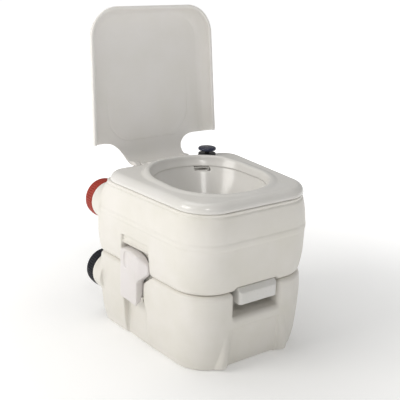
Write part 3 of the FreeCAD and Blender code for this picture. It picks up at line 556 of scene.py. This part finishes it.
def latch_field(x, y, z):
    """Hollow hook: narrow tail, wider head with a bevelled flank, arched top, finger scoop, lip and knuckle."""
    out, across = np.abs(x), np.abs(y - LATCH_MID)
    front_edge = LATCH_MID - LATCH_HALF
    depth = np.interp(z, [left_low.z, 0.112, left_high.z - 0.004], [0.004, 0.018, 0.022])
    arch = 0.004 * (across / LATCH_HALF) ** 2 + 0.30 * np.maximum(front_edge - y, 0)
    swell = soft_curve(z, [0.130, 0.142, 0.162, 0.200], [front_edge, front_edge, HEAD_FRONT, HEAD_FRONT], 0.004)
    plan = both(y - LATCH_MID - LATCH_HALF, swell - y, 0.0015)
    flank = (out - LATCH_OUT + 0.62 * (front_edge - y)) / 1.177
    face = both(out - LATCH_OUT, flank, 0.004)
    hull = both(both(face, LATCH_OUT - depth - out, 0.001), plan, 0.0020)
    hull = both(both(hull, z - left_high.z + arch, 0.0040), left_low.z - z, 0.002)
    inner = both(both(out - LATCH_OUT + 0.004, flank + 0.0035, 0.001), plan + 0.003, 0.002)
    inner = both(inner, z - left_high.z + 0.004 + arch, 0.002)
    body = without(hull, inner, 0.0006)
    lip = block(out, y, z, (0.150, LATCH_MID - LATCH_HALF + 0.006, 0.1875),
                (LATCH_OUT - 0.002, LATCH_MID + LATCH_HALF - 0.006, left_high.z - 0.007), 0.001)
    body = joined(body, lip, 0.002)
    knuckle = both(np.hypot(out - PIN_X, z - PIN_Z) - 0.0052, across - LATCH_HALF, 0.0005)
    web = block(out, y, z, (PIN_X, LATCH_MID - LATCH_HALF + 0.0005, PIN_Z - 0.005),
                (LATCH_OUT - 0.001, LATCH_MID + LATCH_HALF - 0.0005, PIN_Z + 0.005), 0.0005)
    body = joined(joined(body, knuckle, 0.001), web, 0.001)
    scoop = np.sqrt(((out - LATCH_OUT) * 1.6) ** 2 + (y - 0.052) ** 2 + ((z - 0.176) * 0.45) ** 2) - 0.0080
    scoop_floor = LATCH_OUT - 0.0022 - out
    body = without(body, np.maximum(scoop, scoop_floor), 0.0006)
    return without(body, np.hypot(out - PIN_X, z - PIN_Z) - 0.00256, 0.0003)


for side in ("left", "right"):
    low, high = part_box("latch_" + side)
    latch = skin("side_latch_" + side, latch_field, *grown(low, high), 0.0013)
    dress(latch, latch_grey)
    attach(latch, "latch_" + side)
    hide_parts("latch_" + side)

# ---- caps ---------------------------------------------------------------------------------
# Two screw caps at the rear, injection-moulded in polypropylene: red on the filler and blue-black on the
# pouring neck. Fine grip ribs run round the skirt, and the end is slightly dished.
GRIP_RIBS = 48


def cap_field(low, high):
    """Distance field of a screw cap that fills the given box."""
    centre_x, centre_z = (low.x + high.x) / 2, (low.z + high.z) / 2
    radius = (high.x - low.x) / 2
    middle, half = (low.y + high.y) / 2, (high.y - low.y) / 2

    def field(x, y, z):
        radial = np.hypot(x - centre_x, z - centre_z)
        turn = np.arctan2(z - centre_z, x - centre_x)
        fade_out = np.clip((high.y - 0.006 - y) / 0.002, 0, 1)
        fade_in = np.clip((y - low.y - 0.002) / 0.002, 0, 1)
        grip = 0.0009 * np.cos(GRIP_RIBS * turn) * fade_out * fade_in
        body = both(radial - radius + 0.0010 - grip, np.abs(y - middle) - half, 0.0032)
        dish = both(radial - radius + 0.010, high.y - 0.0014 - y, 0.001)
        body = without(body, dish, 0.001)
        inside = both(radial - NECK_RADIUS - 0.0005, y - high.y + 0.004, 0.001)
        return without(body, inside, 0.0005)
    return field


cap_red = moulded("cap_red", (0.34, 0.030, 0.014), 0.42, grain=0.08, tint=0.12, specular=0.35)
cap_black = moulded("cap_black", (0.006, 0.007, 0.014), 0.45, grain=0.08, tint=0.2, specular=0.25)
for name, material, colour_slot in (("filler_cap", cap_red, "cap_red"), ("waste_cap", cap_black, "cap_black")):
    low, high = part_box(name)
    screw_cap = skin(name + "_grip", cap_field(low, high), *grown(low, high), 0.0013)
    dress(screw_cap, material)
    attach(screw_cap, name)
    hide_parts(name)

# ---- flush pump ---------------------------------------------------------------------------
# A piston pump in the upper tank. Above the deck it shows a black collar and a dark navy mushroom knob on a
# black rod; below are a natural polypropylene cylinder, its piston and a short milky hose to the nozzle.
knob_low, knob_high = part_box("pump_knob")


def knob_field(x, y, z):
    """Domed mushroom head, hollow below round its stem."""
    radial = np.hypot(x - PUMP_X, y - PUMP_Y)
    radius = (knob_high.x - knob_low.x) / 2
    crown = 0.0030 * (radial / radius) ** 2
    head = both(radial - radius, z - knob_high.z + crown, 0.0022)
    head = both(head, knob_low.z - z, 0.0020)
    under = both(radial - radius + 0.0025, z - knob_low.z - 0.0018, 0.001)
    stem = radial - 0.009
    return without(head, both(under, -stem, 0.0005), 0.0005)


knob_navy = moulded("knob_navy", (0.022, 0.028, 0.062), 0.26, grain=0.05, tint=0.15)
knob = skin("mushroom_knob", knob_field, *grown(knob_low, knob_high), 0.0009)
dress(knob, knob_navy)
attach(knob, "pump_plunger")
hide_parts("pump_knob")
pump_black = moulded("pump_black", (0.012, 0.012, 0.014), 0.42, grain=0.08, tint=0.2)
pump_natural = moulded("pump_natural", (0.55, 0.55, 0.52), 0.42, grain=0.06)
hose_milky = moulded("hose_clear", (0.60, 0.60, 0.56), 0.30, grain=0.03)
for node, material in (("pump_collar", pump_black), ("pump_rod", pump_black), ("pump_body", pump_natural),
                       ("pump_piston", pump_natural), ("delivery_hose", hose_milky)):
    dress(frame["nodes"][node], material)

# ---- studio --------------------------------------------------------------------------------
# A pale floor that glows with painted light, faintly round the toilet and more strongly further out, so that it
# runs off to white; a large soft light from the upper left, a weaker one from the front and an even sky. The camera
# stands at the front left, a little above the toilet.
bpy.ops.mesh.primitive_plane_add(size=60, location=(0, 0, -0.0002))
floor = bpy.context.object
floor.name = "studio_floor"
paper = moulded("studio_paper", (0.86, 0.86, 0.855), 0.9, grain=0.02, tint=0.01)
dress(floor, paper)
paper_nodes = paper.node_tree
# Painted light: the paper glows by its own emission, weakly near the toilet and strongly further out, as if lit to
# white.
from_middle = paper_nodes.nodes.new("ShaderNodeTexCoord")
reach = paper_nodes.nodes.new("ShaderNodeVectorMath")
reach.operation = "LENGTH"
fade = paper_nodes.nodes.new("ShaderNodeMapRange")
fade.interpolation_type = "SMOOTHSTEP"
fade.inputs["From Min"].default_value = 0.15
fade.inputs["From Max"].default_value = 1.3
fade.inputs["To Min"].default_value = 0.16
fade.inputs["To Max"].default_value = 0.75
paper_nodes.links.new(from_middle.outputs["Object"], reach.inputs[0])
paper_nodes.links.new(reach.outputs["Value"], fade.inputs["Value"])
paper_nodes.links.new(fade.outputs["Result"], paper_nodes.nodes["Principled BSDF"].inputs["Emission Strength"])
paper_nodes.nodes["Principled BSDF"].inputs["Emission Color"].default_value = (1, 1, 1, 1)


def soft_light(name, place, aim, size, power, colour=(1, 1, 1)):
    lamp = bpy.data.lights.new(name, "AREA")
    lamp.shape = "RECTANGLE"
    lamp.size, lamp.size_y = size
    lamp.energy = power
    lamp.color = colour
    holder = bpy.data.objects.new(name, lamp)
    holder.location = place
    holder.rotation_euler = (Vector(aim) - Vector(place)).to_track_quat("-Z", "Y").to_euler()
    bpy.context.scene.collection.objects.link(holder)


soft_light("key_light", (-1.9, 0.4, 1.3), (0, 0, 0.2), (1.1, 1.1), 21, (1.0, 0.98, 0.95))
soft_light("top_light", (-0.1, 0.6, 2.2), (0, 0, 0.2), (1.5, 1.5), 12)
soft_light("window_light", (-1.1, -1.9, 1.9), (0, 0.15, 0.45), (0.5, 0.5), 8, (1.0, 0.985, 0.97))
sky = bpy.data.worlds.new("studio_sky")
sky.use_nodes = True
sky.node_tree.nodes["Background"].inputs["Color"].default_value = (1, 0.995, 0.985, 1)
sky.node_tree.nodes["Background"].inputs["Strength"].default_value = 0.34
bpy.context.scene.world = sky
bpy.context.scene.view_settings.view_transform = "Standard"

AZIMUTH, LOOK_DOWN, TILT = math.radians(36.26), math.radians(18.25), math.radians(1.75)
AIM, DISTANCE = Vector((0.003, 0.041, 0.2747)), 1.594
ahead = Vector((math.sin(AZIMUTH) * math.cos(LOOK_DOWN), math.cos(AZIMUTH) * math.cos(LOOK_DOWN),
                -math.sin(LOOK_DOWN)))
camera_data = bpy.data.cameras.new("camera")
camera_data.lens, camera_data.sensor_width = 70.15, 36
camera = bpy.data.objects.new("camera", camera_data)
bpy.context.scene.collection.objects.link(camera)
camera.rotation_euler = (ahead.to_track_quat("-Z", "Y").to_matrix() @ Matrix.Rotation(TILT, 3, "Z")).to_euler()
camera.location = AIM - DISTANCE * ahead
bpy.context.scene.camera = camera
